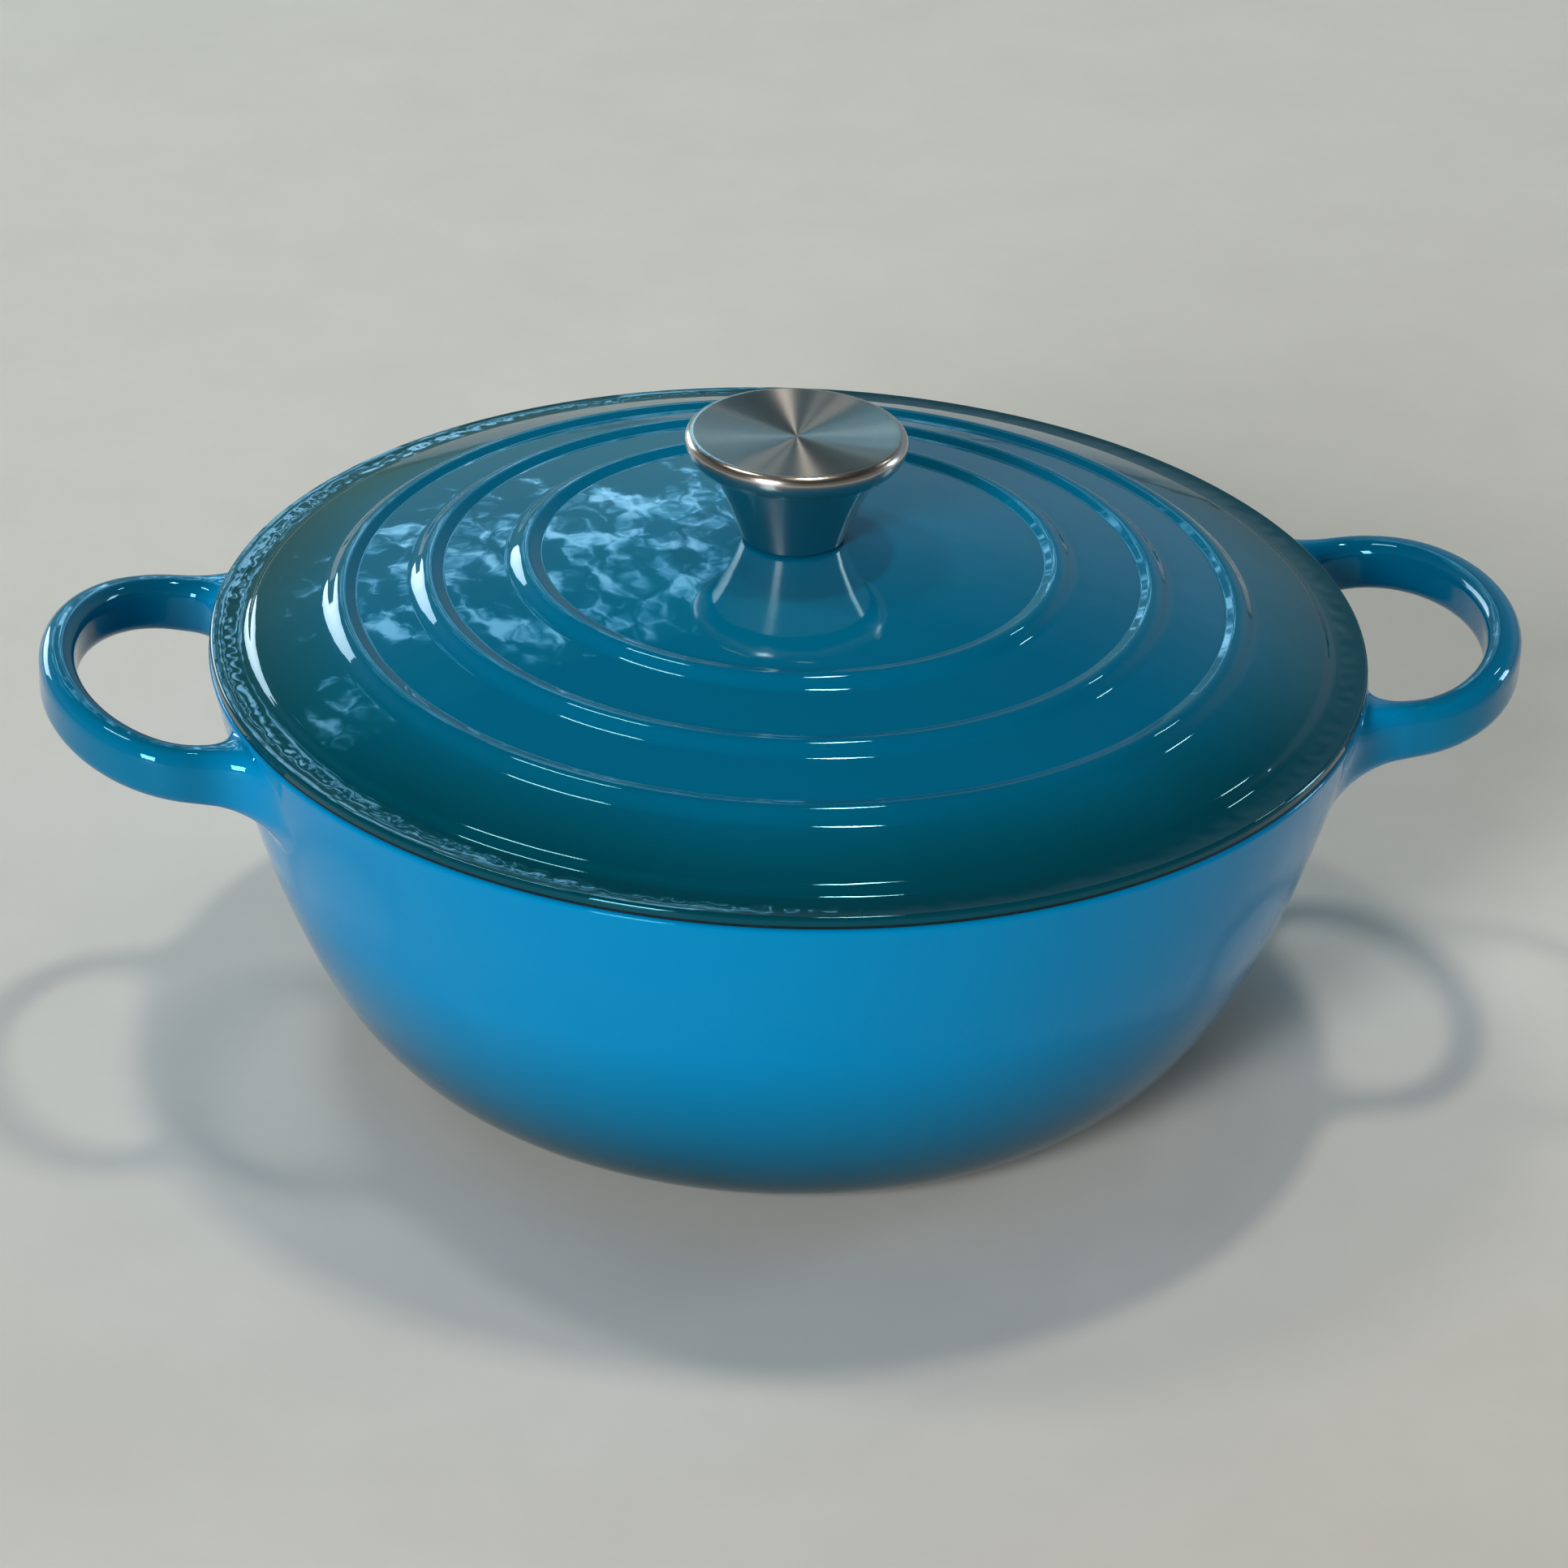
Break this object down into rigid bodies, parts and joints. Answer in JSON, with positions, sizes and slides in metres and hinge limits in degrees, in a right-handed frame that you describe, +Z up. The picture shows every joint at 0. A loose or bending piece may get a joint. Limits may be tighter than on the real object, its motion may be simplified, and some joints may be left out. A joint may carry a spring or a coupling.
{
  "type": "dutch oven",
  "caption": "Round-bottomed enamelled cast iron pot with loop handles at its sides and a domed, ringed lift-off lid with a metal knob, for slow cooking.",
  "frame": {"origin": "middle of the pot's foot ring, on the surface the pot stands on", "axes": "+Z up, +X along the line through both handles, -Y towards the picture's camera side"},
  "size_m": [0.3446, 0.2676, 0.1484],
  "materials": {
    "pot_enamel": "gloss teal-blue enamel outside, sand-coloured enamel inside",
    "lid_enamel": "gloss teal-blue enamel on top, sand-coloured enamel underneath",
    "knob_steel": "spun, with a polished rim",
    "fixing_steel": "plain turned"
  },
  "bodies": {
    "pot": {"pot_body": "pot_enamel"},
    "lid": {"lid": "lid_enamel", "knob_cap": "knob_steel", "knob_stem": "knob_steel", "knob_bush": "fixing_steel", "knob_screw": "fixing_steel", "screw_washer": "fixing_steel"}
  },
  "joints": [
    {"name": "lid_lift", "type": "slide", "parent": "pot", "child": "lid", "axis": [0, 0, 1], "range_m": [0, 0.2]}
  ]
}
